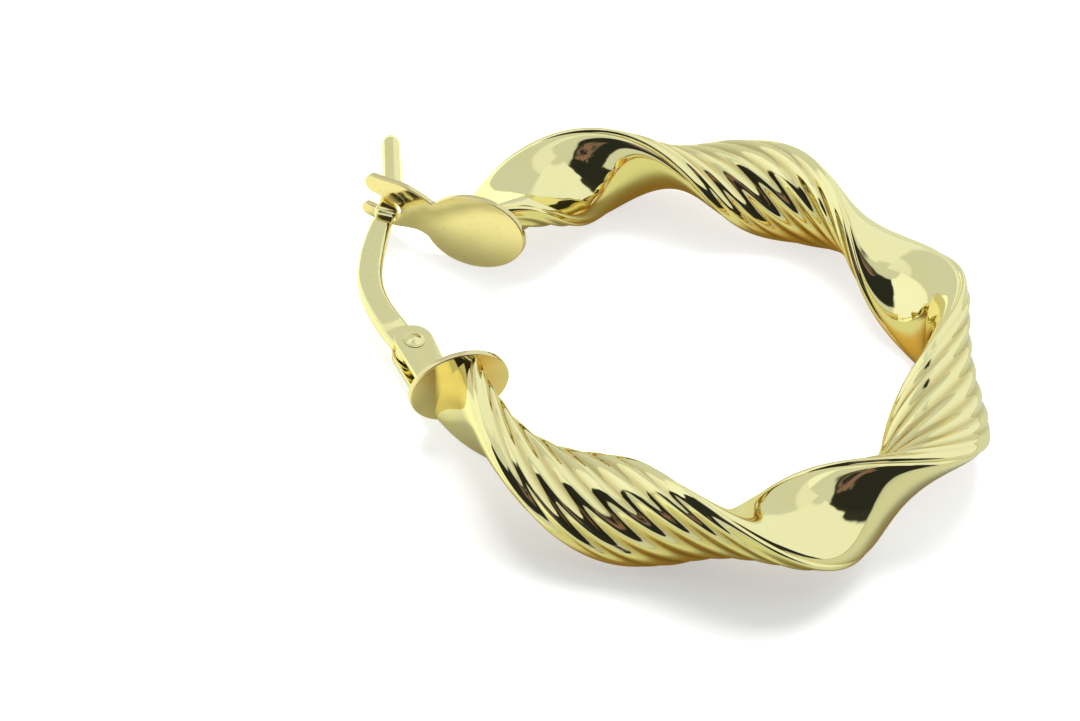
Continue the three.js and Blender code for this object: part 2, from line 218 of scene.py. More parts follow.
class WireSizes(bpy.types.PropertyGroup):
    level: length("Wire level", "Height of the ear wire over the ring's plane", -0.87)
    width: length("Wire width", "Width of the flat strip", 1.1)
    thickness: length("Wire thickness", "Thickness of the flat strip", 0.6)
    in_fork: length("Wire in fork", "From the catch plate's middle to the wire in the fork", 4.41)
    post: length("Post width", "Width of the round post", 0.87)
    eye_thickness: length("Eye thickness", "Thickness of the eye on the pin", 0.5)
    eye_radius: length("Eye radius", "Radius of the eye", 0.78)
    eye_rim: length("Eye rim", "Easing of the eye's rims", 0.07)
    eye_share: number("Eye share", "Share of its thickness, so its faces lie under the strip's", 0.99)
    start: number("Strip start", "Where the strip starts, beside the hole, as a share of its rows", 0.035)
    corner: number("Wire corner", "Rounding of the strip's corners, as a share of half its thickness", 0.73)
    post_corner: number("Post corner", "The same for the post", 0.96)
    side_gap: length("Side gap", "Gap between the strip and the fork or ears", 0.1)


class GoldFinish(bpy.types.PropertyGroup):
    gold: colour("Gold", "Colour of the polished gold", (0.95, 0.84, 0.44))
    warm: colour("Warm gold", "Colour of the faint warm clouds in the metal", (0.95, 0.8, 0.36))
    dull: colour("Dull gold", "Colour of the duller gold of the two end plates", (0.83, 0.68, 0.36))
    # Painted shade: the colour the grooves between the reeds go towards, in place of the shade that falls
    # there
    painted_groove_shade: colour("Groove gold", "Colour of the metal between the reeds", (0.5, 0.35, 0.1))
    pit: colour("Pit", "Colour of the fine pits in the satin gold", (0.42, 0.34, 0.16))
    shine: number("Roughness", "Roughness of the mirror-polished tube and hinge plate", 0.05)
    satin: number("Satin roughness", "Roughness of the other pieces", 0.12)


class StudioLook(bpy.types.PropertyGroup):
    floor: colour("Floor", "Colour of the surface it lies on", (0.55, 0.53, 0.52))
    # Painted light: the floor glows for the camera, weaker at the front and stronger further back, which
    # lightens its shadows and washes them out at the back
    glow: colour("Front glow", "Light that the surface lets through at the front", (0.44, 0.44, 0.44))
    painted_back_glow: colour("Back glow", "Light that it lets through further back", (0.68, 0.68, 0.68))
    # Painted light in the metal's reflections: the floor's colours there differ by place, and it glows
    # faintly with half of them
    painted_bounce: colour("Floor bounce", "Colour of the surface in the metal's reflections", (0.33, 0.34, 0.21))
    right: colour("Right bounce", "The same beyond the ring at the right", (0.32, 0.34, 0.3))
    left: colour("Left bounce", "The same in the ring's gap and beyond it at the left", (0.5, 0.53, 0.4))
    # Painted light: warm light of the gold painted on the floor under the ring, seen in the metal's
    # reflections
    painted_spill: colour("Gold spill", "Colour that the gold throws on the surface under it", (0.31, 0.2, 0.05))
    tint: colour("Light tint", "Colour of the white surround", (0.9, 0.995, 1.0))
    surround: number("Surround", "Brightness of the white surround", 1.01)
    tent: number("Tent", "Brightness of the surround between its panels, as a share of it", 0.72)
    left_light: number("Left light", "What the left panel adds to that share", 0.34)
    right_light: number("Right light", "What the right panel adds", 0.25)
    top_light: number("Top light", "What the panel above adds", 0.2)
    dark: number("Dark", "How dark the opening round the camera is", 0.965)
    ember: colour("Ember", "Colour of the warm patch in that opening", (1.0, 0.55, 0.5))
    ember_light: number("Ember light", "Brightness of the warm patch", 0.24)
    key: number("Key light", "Power of the soft light from behind, in watts", 0.6)
    key_width: length("Key light width", "Width of the soft light", 160)
    key_depth: length("Key light depth", "Depth of the soft light", 100)
    key_place: place("Key light place", "Where the soft light stands", (-30, 100, 170))
    lens: number("Lens", "Focal length for a 36 mm wide picture", 96.65)
    elevation: angle("Elevation", "How far the camera looks down", 46.2266)
    roll: angle("Roll", "How far the camera is turned about its own axis", 10.7639)
    away: FloatVectorProperty(
        name="Camera place",
        description="From the ring's centre along the camera's own axes, in ring radii",
        default=(-0.6180, -0.0826, 11.5077),
        size=3,
    )


class EarringSettings(bpy.types.PropertyGroup):
    tube: PointerProperty(type=TubeSizes)
    plate: PointerProperty(type=PlateSizes)
    hinge: PointerProperty(type=HingeSizes)
    wire: PointerProperty(type=WireSizes)
    finish: PointerProperty(type=GoldFinish)
    studio: PointerProperty(type=StudioLook)


# Places and curves


def ring_frame(turn, tube):
    """Directions out and back, and the middle line's point, at ring angles in radians.

    The line is a circle whose radius grows and shrinks by the oval, twice in a turn.
    """
    out = np.stack([np.cos(turn), np.sin(turn), 0 * turn], -1)
    back = np.stack([np.sin(turn), -np.cos(turn), 0 * turn], -1)
    radius = tube.radius + tube.oval * np.cos(2 * turn)
    return out, back, ring_centre() + out * radius[..., None]


def ring_centre():
    """The ring's centre, back from where the frame holds the pin."""
    settings = bpy.context.scene.earring
    tube, hinge = settings.tube, settings.hinge
    turn = tube.hinge_end
    radius = tube.radius + tube.oval * math.cos(2 * turn) + hinge.offset
    pin_x = radius * math.cos(turn) + hinge.reach * math.sin(turn)
    pin_y = radius * math.sin(turn) - hinge.reach * math.cos(turn)
    low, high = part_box("hinge_pin")
    return np.array((low + high) / 2) - np.array([pin_x, pin_y, settings.wire.level])


def hermite(f, start, end, leave, arrive):
    """Cubic from start to end with the given slopes, at f from 0 to 1."""
    return (
        (2 * f**3 - 3 * f**2 + 1) * start
        + (f**3 - 2 * f**2 + f) * leave
        + (3 * f**2 - 2 * f**3) * end
        + (f**3 - f**2) * arrive
    )


def with_ends(rows):
    """The rows with one more at each end, carried straight on."""
    return np.concatenate([[2 * rows[0] - rows[1]], rows, [2 * rows[-1] - rows[-2]]])


def even_curve(rows, share):
    """Smooth curve through even rows, whose slope at a row is half the step between its neighbours."""
    v = with_ends(rows)
    t = np.clip(share, 0, 1) * (len(rows) - 1)
    i = np.minimum(t.astype(int), len(rows) - 2)
    f = (t - i).reshape(-1, *[1] * (rows.ndim - 1))
    a, b, c, d = (v[i + k] for k in range(4))
    return hermite(f, b, c, (c - a) / 2, (d - b) / 2)


def spaced_curve(rows, share):
    """Smooth curve through uneven rows, whose slopes allow for the square root of each step's length."""
    v = with_ends(rows)
    gap = np.sqrt(np.linalg.norm(np.diff(v, axis=0), axis=1))
    t = np.clip(share, 0, 1) * (len(rows) - 1)
    i = np.minimum(t.astype(int), len(rows) - 2)
    f = (t - i)[:, None]
    a, b, c, d = (v[i + k] for k in range(4))
    p, q, r = (gap[i + k][:, None] for k in range(3))
    leave = ((b - a) / p - (c - a) / (p + q) + (c - b) / q) * q
    arrive = ((c - b) / q - (d - b) / (q + r) + (d - c) / r) * q
    return hermite(f, b, c, leave, arrive)


def eased(rows, share):
    """Goes from row to row with a smooth step between each pair."""
    t = np.clip(share, 0, 1) * (len(rows) - 1)
    i = np.minimum(t.astype(int), len(rows) - 2)
    f = t - i
    return rows[i] + (rows[i + 1] - rows[i]) * f * f * (3 - 2 * f)


def arc(x, y, radius, start, end, steps):
    """Points on a circle about (x, y) from one angle to another, in degrees."""
    a = np.radians(np.linspace(start, end, steps))
    return np.stack([x + radius * np.cos(a), y + radius * np.sin(a)], -1)


def even_outline(points, step, soften):
    """The closed line through the points in even steps, softened by a moving bell-shaped mean."""
    closed = np.concatenate([points, points[:1]])
    run = np.concatenate([[0], np.cumsum(np.linalg.norm(np.diff(closed, axis=0), axis=1))])
    count = int(run[-1] / step)
    at = np.arange(count) * run[-1] / count
    line = np.stack([np.interp(at, run, closed[:, k]) for k in (0, 1)], -1)
    if not soften:
        return line
    reach = int(3 * soften / step)
    bell = np.exp(-0.5 * (np.arange(-reach, reach + 1) * step / soften) ** 2)
    wide = np.concatenate([line[-reach:], line, line[:reach]])
    return np.stack([np.convolve(wide[:, k], bell / bell.sum(), "valid") for k in (0, 1)], -1)


def outward(line):
    """Unit normals of a closed anticlockwise outline, across the line between each point's neighbours."""
    along = np.roll(line, -1, axis=0) - np.roll(line, 1, axis=0)
    along /= np.linalg.norm(along, axis=1)[:, None]
    return np.stack([along[:, 1], -along[:, 0]], -1)


# Meshes


def net(rows, count, joined=False):
    """Quads between rings of count points each; the last ring meets the first where joined."""
    i = np.arange(rows if joined else rows - 1)[:, None] * count
    j = np.arange(count)[None, :]
    k = (j + 1) % count
    n = (i + count) % (rows * count)
    return np.stack([i + j, n + j, n + k, i + k], -1).reshape(-1, 4)


def closed_skin(rings):
    """Rings of points as a closed shell, with a fan from each end ring to its own middle."""
    rows, count = rings.shape[:2]
    first, last = rings[0].mean(0), rings[-1].mean(0)
    points = np.concatenate([rings.reshape(-1, 3), [first, last]])
    j = np.arange(count)
    k = (j + 1) % count
    hub = rows * count
    end = (rows - 1) * count
    fans = np.concatenate(
        [np.stack([0 * j + hub, j, k], -1), np.stack([0 * j + hub + 1, end + k, end + j], -1)]
    )
    return points, [net(rows, count), fans]


def eased_sheet(line, thickness, rim, steps=5):
    """A flat outline with thickness, its rim a quarter circle below and above, each face one polygon."""
    side = outward(line)
    g = np.radians(np.linspace(-90, 0, steps))
    back, rise = (1 - np.cos(g)) * rim, (1 + np.sin(g)) * rim
    inset = np.concatenate([back, back[::-1]])
    height = np.concatenate([rise, thickness - rise[::-1]])
    flat = line[None] - side[None] * inset[:, None, None]
    rings = np.concatenate([flat, np.broadcast_to(height[:, None, None], flat.shape[:2] + (1,))], -1)
    rows, count = rings.shape[:2]
    j = np.arange(count)
    return rings.reshape(-1, 3), [net(rows, count)[:, ::-1], j[None, ::-1], (rows - 1) * count + j[None]]


def pierced_sheet(line, hole, thickness, rim, steps=4):
    """A flat outline round a hole at the origin: a profile of four quarter circles, carried round both.

    The outer quarter circles shrink the outline along its normals, the inner ones widen the hole.
    """
    side = outward(line)
    toward = line / np.linalg.norm(line, axis=1)[:, None]
    g = np.radians(np.linspace(0, 90, steps))
    back, rise = (1 - np.cos(g)) * rim, (1 - np.sin(g)) * rim
    outer = line - side * back[:, None, None]
    inner = toward * (hole + rise)[:, None, None]
    flat = np.concatenate([outer[::-1], outer, inner[::-1], inner])
    height = np.concatenate([rise[::-1], thickness - rise, thickness - back[::-1], back])
    rings = np.concatenate([flat, np.broadcast_to(height[:, None, None], flat.shape[:2] + (1,))], -1)
    return rings.reshape(-1, 3), [net(len(rings), len(line), joined=True)[:, ::-1]]


def turned(profile, steps=96):
    """A profile of (radius, height) turned about the upright axis."""
    a = np.linspace(0, 2 * np.pi, steps, endpoint=False)
    r, z = profile[:, 0][:, None], profile[:, 1][:, None]
    return np.stack([r * np.cos(a), r * np.sin(a), z + 0 * a], -1)


def across_ring(part, turn, tube):
    """A sheet drawn in (out, up) with its thickness along z, set across the ring."""
    out, back, centre = ring_frame(np.array([turn]), tube)
    points, faces = part
    return centre + points[:, :1] * out + points[:, 1:2] * UP + points[:, 2:] * back, faces


def put_mesh(name, parts, material, sharp=35):
    """One object from parts of (points, face arrays), smooth up to edges of sharp degrees."""
    points = np.concatenate([p for p, _ in parts])
    starts = np.cumsum([0] + [len(p) for p, _ in parts])
    corners, sizes = [], []
    for start, (_, faces) in zip(starts, parts):
        for block in faces:
            corners.append((block + start).ravel())
            sizes.append(np.full(len(block), block.shape[1]))
    corners, sizes = np.concatenate(corners), np.concatenate(sizes)
    mesh = bpy.data.meshes.new(name)
    mesh.vertices.add(len(points))
    mesh.vertices.foreach_set("co", points.ravel())
    mesh.loops.add(len(corners))
    mesh.loops.foreach_set("vertex_index", corners.astype(np.int32))
    mesh.polygons.add(len(sizes))
    mesh.polygons.foreach_set("loop_start", (np.cumsum(sizes) - sizes).astype(np.int32))
    mesh.update(calc_edges=True)
    if mesh.validate():
        raise RuntimeError(f"{name}: the mesh had faults")
    mesh.shade_smooth()
    mesh.set_sharp_from_angle(angle=math.radians(sharp))
    mesh.materials.append(material)
    piece = bpy.data.objects.new(name, mesh)
    bpy.context.scene.collection.objects.link(piece)
    return piece


# Materials


class Value:
    """A number socket that takes part in Python arithmetic: each operator adds a Math node."""

    def __init__(self, shader, socket):
        self.shader, self.socket = shader, socket

    def __add__(self, other):
        return self.shader.math("ADD", self, other)

    def __sub__(self, other):
        return self.shader.math("SUBTRACT", self, other)

    def __rsub__(self, other):
        return self.shader.math("SUBTRACT", other, self)

    def __mul__(self, other):
        return self.shader.math("MULTIPLY", self, other)

    def __pow__(self, other):
        return self.shader.math("POWER", self, other)

    __radd__ = __add__
    __rmul__ = __mul__

    def step(self, low, high):
        """Smooth step from 0 at low to 1 at high."""
        return self.shader.node(
            "ShaderNodeMapRange",
            {"interpolation_type": "SMOOTHSTEP"},
            {"Value": self, "From Min": low, "From Max": high},
        )


class Shader:
    """Adds nodes to a material's or the world's tree."""

    def __init__(self, owner):
        owner.use_nodes = True
        self.tree = owner.node_tree
        self.tree.nodes.clear()

    def node(self, kind, settings=None, inputs=None, output=0):
        """Adds a node with its settings, then the values or links of its sockets."""
        made = self.tree.nodes.new(kind)
        for key, value in (settings or {}).items():
            setattr(made, key, value)
        for key, value in (inputs or {}).items():
            if isinstance(value, Value):
                self.tree.links.new(value.socket, made.inputs[key])
            else:
                made.inputs[key].default_value = value
        return Value(self, made.outputs[output]) if made.outputs else made

    def math(self, operation, *values):
        return self.node("ShaderNodeMath", {"operation": operation}, dict(enumerate(values)))

    def mix(self, share, first, second):
        """Colour from first to second by share."""
        colours = [c if isinstance(c, Value) else (*c[:3], 1) for c in (first, second)]
        return self.node(
            "ShaderNodeMix", {"data_type": "RGBA"}, {0: share, 6: colours[0], 7: colours[1]}, output=2
        )

    def noise(self, where, scale, detail):
        return self.node("ShaderNodeTexNoise", {}, {"Vector": where, "Scale": scale, "Detail": detail})

    def place(self):
        """Object coordinates, in metres."""
        return self.node("ShaderNodeTexCoord", output=3)

    def camera_ray(self):
        """1 for what the camera sees directly, 0 for what is seen in the metal."""
        return self.node("ShaderNodeLightPath")

    def parts(self, vector, count):
        """The first numbers of a vector, each as a value."""
        split = self.node("ShaderNodeSeparateXYZ", {}, {"Vector": vector}).socket.node
        return [Value(self, split.outputs[k]) for k in range(count)]


# Fineness of the gold's patterns, in waves per metre, the depth of its relief, and where its noise turns
# into clouds of colour, clouds of gloss and pits
CLOUDS = 900
PITS = 5200
RELIEF = 420
RELIEF_DEPTH = 0.2 * MM
CLOUD_COLOUR = (0.35, 0.75)
CLOUD_GLOSS = (0.4, 0.8)
PIT_EDGE = (0.66, 0.74)


def gold_material(name, finish, roughness, mottle, pits, relief, base=None, groove_shade_strength=0.0):
    """Polished gold: faint mottling of colour and gloss, fine pits, and a low relief that bends reflections.

    With a groove shade strength, the colour goes towards the groove colour by the mesh's own attribute:
    painted shade between the reeds.
    """
    material = bpy.data.materials.new(name)
    s = Shader(material)
    where = s.place()
    cloud = s.noise(where, CLOUDS, 3)
    specks = s.noise(where, PITS, 1).step(*PIT_EDGE) * pits
    shade = s.mix(cloud.step(*CLOUD_COLOUR) * mottle, base or finish.gold, finish.warm)
    # Painted shade in the grooves between the reeds, by the mesh's attribute
    if groove_shade_strength:
        painted_groove_shade = s.node("ShaderNodeAttribute", {"attribute_name": "painted_groove_shade"}, output=2)
        shade = s.mix(painted_groove_shade * groove_shade_strength, shade, finish.painted_groove_shade)
    shade = s.mix(specks * 0.5, shade, finish.pit)
    gloss = roughness + cloud.step(*CLOUD_GLOSS) * (roughness * 0.5) + specks * 0.15
    height = s.noise(where, RELIEF, 2) * relief + specks * -0.02
    bump = s.node("ShaderNodeBump", {}, {"Strength": 0.25, "Distance": RELIEF_DEPTH, "Height": height})
    surface = s.node(
        "ShaderNodeBsdfPrincipled",
        {},
        {"Base Color": shade, "Metallic": 1.0, "Roughness": gloss, "Normal": bump},
    )
    s.node("ShaderNodeOutputMaterial", {}, {"Surface": surface})
    return material


# Operators


class EARRING_OT_tube(bpy.types.Operator):
    """Adds the twisted tube: a section, smooth above and reeded below, that turns along the ring"""

    bl_idname = "earring.add_tube"
    bl_label = "Add Twisted Tube"
    bl_options = {"REGISTER", "UNDO"}

    @staticmethod
    def section(t, run):
        """Points (across, height) at each distance run along the tube, and each one's share of painted
        groove shade.

        The ribbed side is a power of a sine. Its reeds are a cosine wave that drifts across as it runs on,
        and a smooth step fades them out before each edge. The painted shade of the grooves is the square of
        what the wave leaves.
        The smooth side is a power of an ellipse. Quarter circles roll the two edges.
        """
        flank = t.half_width - t.edge_radius
        floor = t.edge_level - t.edge_radius
        depth = t.ribbed_depth - t.edge_radius - t.rib_height
        s = np.linspace(0, np.pi, t.ribs * REED_STEPS, endpoint=False)
        edge = np.clip((np.minimum(s, np.pi - s) - t.margin) / t.fade, 0, 1)
        wave = 0.5 - 0.5 * np.cos(2 * t.ribs * (s[None] + t.drift * run[:, None]))
        rib = t.rib_height * wave * edge * edge * (3 - 2 * edge)
        ribbed_x = -(t.half_width + rib) * np.cos(s)
        ribbed_y = floor - depth * np.sin(s) ** t.ribbed_fullness - rib * np.sin(s)
        right = arc(flank, floor, t.edge_radius, 0, 90, ROLL_STEPS)
        x = np.cos(np.linspace(0, np.pi, DOME_STEPS)[1:-1])
        dome = np.stack([flank * x, t.edge_level + t.dome_height * (1 - x * x) ** t.dome_fullness], -1)
        left = arc(-flank, floor, t.edge_radius, 90, 180, ROLL_STEPS)[:-1]
        plain = np.concatenate([right, dome, left])
        plain = np.broadcast_to(plain, (len(run), *plain.shape))
        points = np.concatenate([np.stack([ribbed_x, ribbed_y], -1), plain], 1)
        # Painted shade: most in the grooves between the reeds, none on the plain margins and the smooth side
        painted_groove_shade = np.concatenate([(1 - wave) ** 2 * edge, 0 * plain[..., 0]], 1)
        return points, painted_groove_shade

    def execute(self, context):
        settings = context.scene.earring
        t = settings.tube
        sunk = settings.plate.thickness / 2 / t.radius
        share = np.linspace(0, 1, TUBE_STATIONS)
        turn = t.hinge_end - sunk + share * (t.catch_end - t.hinge_end)
        out, _, centre = ring_frame(turn, t)
        span = (t.catch_end - t.hinge_end) * t.radius
        near = np.clip(span * np.minimum(share, 1 - share) / t.taper, 0, 1)
        full = near * near * (3 - 2 * near)
        size = (t.end_scale + (1 - t.end_scale) * full)[:, None]
        centre = centre - UP * (t.end_drop * (1 - full))[:, None]
        twist = (t.tilt + 2 * np.pi * even_curve(TURNS, share))[:, None]
        across = size * (np.cos(twist) * out - np.sin(twist) * UP)
        above = size * (np.sin(twist) * out + np.cos(twist) * UP)
        section, painted_groove_shade = self.section(t, span * share)
        rings = centre[:, None] + section[..., :1] * across[:, None] + section[..., 1:] * above[:, None]
        finish = settings.finish
        # The tube's gold, with painted shade in its grooves
        gold = gold_material(
            "tube_gold", finish, finish.shine, mottle=0.3, pits=0.0, relief=0.5, groove_shade_strength=0.6
        )
        piece = put_mesh("twisted_tube", [closed_skin(rings)], gold, sharp=24)
        # The painted groove shade, stored on the tube's points for its material
        depth = piece.data.attributes.new("painted_groove_shade", "FLOAT", "POINT")
        depth.data.foreach_set("value", np.append(painted_groove_shade, [0, 0]))
        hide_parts("hoop")
        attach(piece, "hoop")
        return {"FINISHED"}


class EARRING_OT_plates(bpy.types.Operator):
    """Adds the oval hinge plate, and the oval catch plate whose sheet runs out into an arm and a fork"""

    bl_idname = "earring.add_plates"
    bl_label = "Add End Plates"
    bl_options = {"REGISTER", "UNDO"}

    @staticmethod
    def oval(x, y, long, short, lean, start, end):
        """Points of a leaning ellipse between two angles, in degrees."""
        a = np.radians(np.linspace(start, end, 240))
        u, v = long * np.cos(a), short * np.sin(a)
        across, up = math.cos(lean), math.sin(lean)
        return np.stack([x + u * across - v * up, y + u * up + v * across], -1)

    def execute(self, context):
        settings = context.scene.earring
        p, w = settings.plate, settings.wire
        finish = settings.finish
        gold = gold_material(
            "plate_gold", finish, finish.shine, mottle=0.5, pits=0.0, relief=1.0, base=finish.dull
        )
        outline = self.oval(p.hinge_out, p.hinge_up, p.hinge_long, p.hinge_short, p.hinge_lean, 0, 358.5)
        line = even_outline(outline, OUTLINE_STEP, soften=0)
        part = across_ring(eased_sheet(line, p.thickness, p.rim), settings.tube.hinge_end, settings.tube)
        piece = put_mesh("hinge_plate", [part], gold)
        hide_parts("hoop")
        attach(piece, "hoop")

        # The oval is open from -10 to 55 degrees, where the arm leaves it
        slot_half = w.thickness / 2 + w.side_gap
        top, bottom = w.level + slot_half, w.level - slot_half
        upper, lower = p.upper_prong / 2, p.lower_prong / 2
        slot_end = p.slot_start + slot_half
        share = np.linspace(p.arm_start, 1, 120)
        under = even_curve(ARM[:, [0, 2]] * [p.fork_end, -p.arm_depth], share)
        over = even_curve(ARM[:, [0, 1]] * [p.fork_end, p.arm_top], share)[::-1]
        outline = np.concatenate(
            [
                under,
                arc(p.fork_end - lower, bottom - lower, lower, -90, 90, 40),
                arc(slot_end, w.level, slot_half, 270, 90, 40),
                arc(p.fork_end - upper, top + upper, upper, -90, 90, 50),
                over,
                self.oval(p.catch_out, 0, p.catch_long, p.catch_short, p.catch_lean, 55, 350),
            ]
        )
        line = even_outline(outline, FORK_STEP, p.soften)
        part = across_ring(eased_sheet(line, p.thickness, p.rim), settings.tube.catch_end, settings.tube)
        gold = gold_material(
            "catch_gold", finish, finish.satin, mottle=0.2, pits=0.4, relief=0.4, base=finish.dull
        )
        piece = put_mesh("catch_plate", [part], gold)
        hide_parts("hoop")
        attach(piece, "hoop")
        return {"FINISHED"}


def pin_axis(settings):
    """The pin's point in the wire's plane, and the directions out and back at the hinge."""
    out, back, centre = ring_frame(np.array([settings.tube.hinge_end]), settings.tube)
    pin = centre[0] + out[0] * settings.hinge.offset + back[0] * settings.hinge.reach
    return pin + UP * settings.wire.level, out[0], back[0]


class EARRING_OT_bracket(bpy.types.Operator):
    """Adds the hinge bracket: two level ears with round ends, each pierced for the pin"""

    bl_idname = "earring.add_bracket"
    bl_label = "Add Hinge Bracket"
    bl_options = {"REGISTER", "UNDO"}

    def execute(self, context):
        settings = context.scene.earring
        h, w = settings.hinge, settings.wire
        pin, out, back = pin_axis(settings)
        rooted = settings.plate.thickness / 2 - h.reach
        outline = np.concatenate(
            [
                [(-h.ear_radius, rooted), (h.ear_root - h.ear_radius, rooted)],
                arc(0, 0, h.ear_radius, 0, 180, 60),
            ]
        )
        line = even_outline(outline, OUTLINE_STEP, h.soften)
        points, faces = pierced_sheet(line, h.pin_radius + h.clearance, h.ear_sheet, h.ear_rim)
        ear = pin + points[:, :1] * out + points[:, 1:2] * back + points[:, 2:] * UP
        turned_out = [f[:, ::-1] for f in faces]
        half = w.eye_thickness / 2 + w.side_gap
        parts = [(ear + low * UP, turned_out) for low in (half, -half - h.ear_sheet)]
        finish = settings.finish
        gold = gold_material("bracket_gold", finish, finish.satin, mottle=0.4, pits=0.4, relief=0.4)
        piece = put_mesh("hinge_bracket", parts, gold)
        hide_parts("hoop")
        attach(piece, "hoop")
        return {"FINISHED"}


class EARRING_OT_wire(bpy.types.Operator):
    """Adds the ear wire: a rounded strip that runs on into a round post, and the eye it turns on"""

    bl_idname = "earring.add_wire"
    bl_label = "Add Ear Wire"
    bl_options = {"REGISTER", "UNDO"}

    @staticmethod
    def strip(settings):
        """A rectangle with quarter-circle corners, of eased width and thickness, along the course."""
        w = settings.wire
        start = pin_axis(settings)[0]
        out, _, centre = ring_frame(np.array([settings.tube.catch_end]), settings.tube)
        reach = (centre[0] + out[0] * w.in_fork - start)[:2]
        aside = np.array([-reach[1], reach[0]])
        rows = np.concatenate([STRIP, POST])
        sizes = np.concatenate([STRIP[:, 2:] * [w.width, w.thickness], POST[:, 2:] * w.post])
        share = np.linspace(w.start, 1, WIRE_STATIONS)
        middle = spaced_curve(start[:2] + rows[:, :1] * reach + rows[:, 1:2] * aside, share)
        along = np.gradient(middle, axis=0)
        along /= np.linalg.norm(along, axis=1)[:, None]
        side = np.stack([along[:, 1], -along[:, 0]], -1)
        half_width, half_thick = (eased(sizes[:, k], share) / 2 for k in (0, 1))
        round_share = np.repeat([w.corner, w.post_corner], [len(STRIP), len(POST)])
        corner = eased(round_share, share) * half_thick
        a = np.radians(np.concatenate([np.linspace(q, q + 90, CORNER_STEPS) for q in (0, 90, 180, 270)]))
        sign_x = np.repeat([1, -1, -1, 1], CORNER_STEPS)
        sign_y = np.repeat([1, 1, -1, -1], CORNER_STEPS)
        x = sign_x * (half_width - corner)[:, None] + corner[:, None] * np.cos(a)
        z = sign_y * (half_thick - corner)[:, None] + corner[:, None] * np.sin(a)
        flat = middle[:, None] + side[:, None] * x[..., None]
        rings = np.concatenate([flat, (z + start[2])[..., None]], -1)
        return closed_skin(rings)

    def execute(self, context):
        settings = context.scene.earring
        h, w = settings.hinge, settings.wire
        strip = self.strip(settings)
        pin, _, _ = pin_axis(settings)
        ring = arc(0, 0, w.eye_radius, 0, 360, 97)[:-1]
        thickness = w.eye_thickness * w.eye_share
        points, faces = pierced_sheet(ring, h.pin_radius + 2 * h.clearance, thickness, w.eye_rim)
        eye = (pin + points - UP * thickness / 2, faces)
        finish = settings.finish
        gold = gold_material("wire_gold", finish, finish.satin, mottle=0.3, pits=0.3, relief=0.3)
        piece = put_mesh("ear_wire_strip", [strip, eye], gold)
        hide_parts("ear_wire")
        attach(piece, "ear_wire")
        return {"FINISHED"}


class EARRING_OT_pin(bpy.types.Operator):
    """Adds the rivet: a round bar with a bell-shaped head on each ear, turned from one profile"""

    bl_idname = "earring.add_pin"
    bl_label = "Add Hinge Pin"
    bl_options = {"REGISTER", "UNDO"}

    def execute(self, context):
        settings = context.scene.earring
        h, w = settings.hinge, settings.wire
        pin, _, _ = pin_axis(settings)
        half = w.eye_thickness / 2 + w.side_gap + h.ear_sheet
        r = np.linspace(0.03, 1, 16)
        bell = h.head_swell * np.cos(np.pi * r) + h.head_level
        head = np.stack([h.head_radius * r, half + h.head_height * bell], -1)
        shank = np.array([(h.pin_radius, half), (h.pin_radius, 0)])
        profile = np.concatenate([head, shank, shank[:1] * [1, -1], head[::-1] * [1, -1]])
        rings = turned(profile) + pin
        finish = settings.finish
        gold = gold_material("pin_gold", finish, finish.satin, mottle=0.4, pits=0.0, relief=0.4)
        points, faces = closed_skin(rings)
        piece = put_mesh("rivet", [(points, [f[:, ::-1] for f in faces])], gold)
        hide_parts("hinge_pin")
        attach(piece, "hoop")
        return {"FINISHED"}


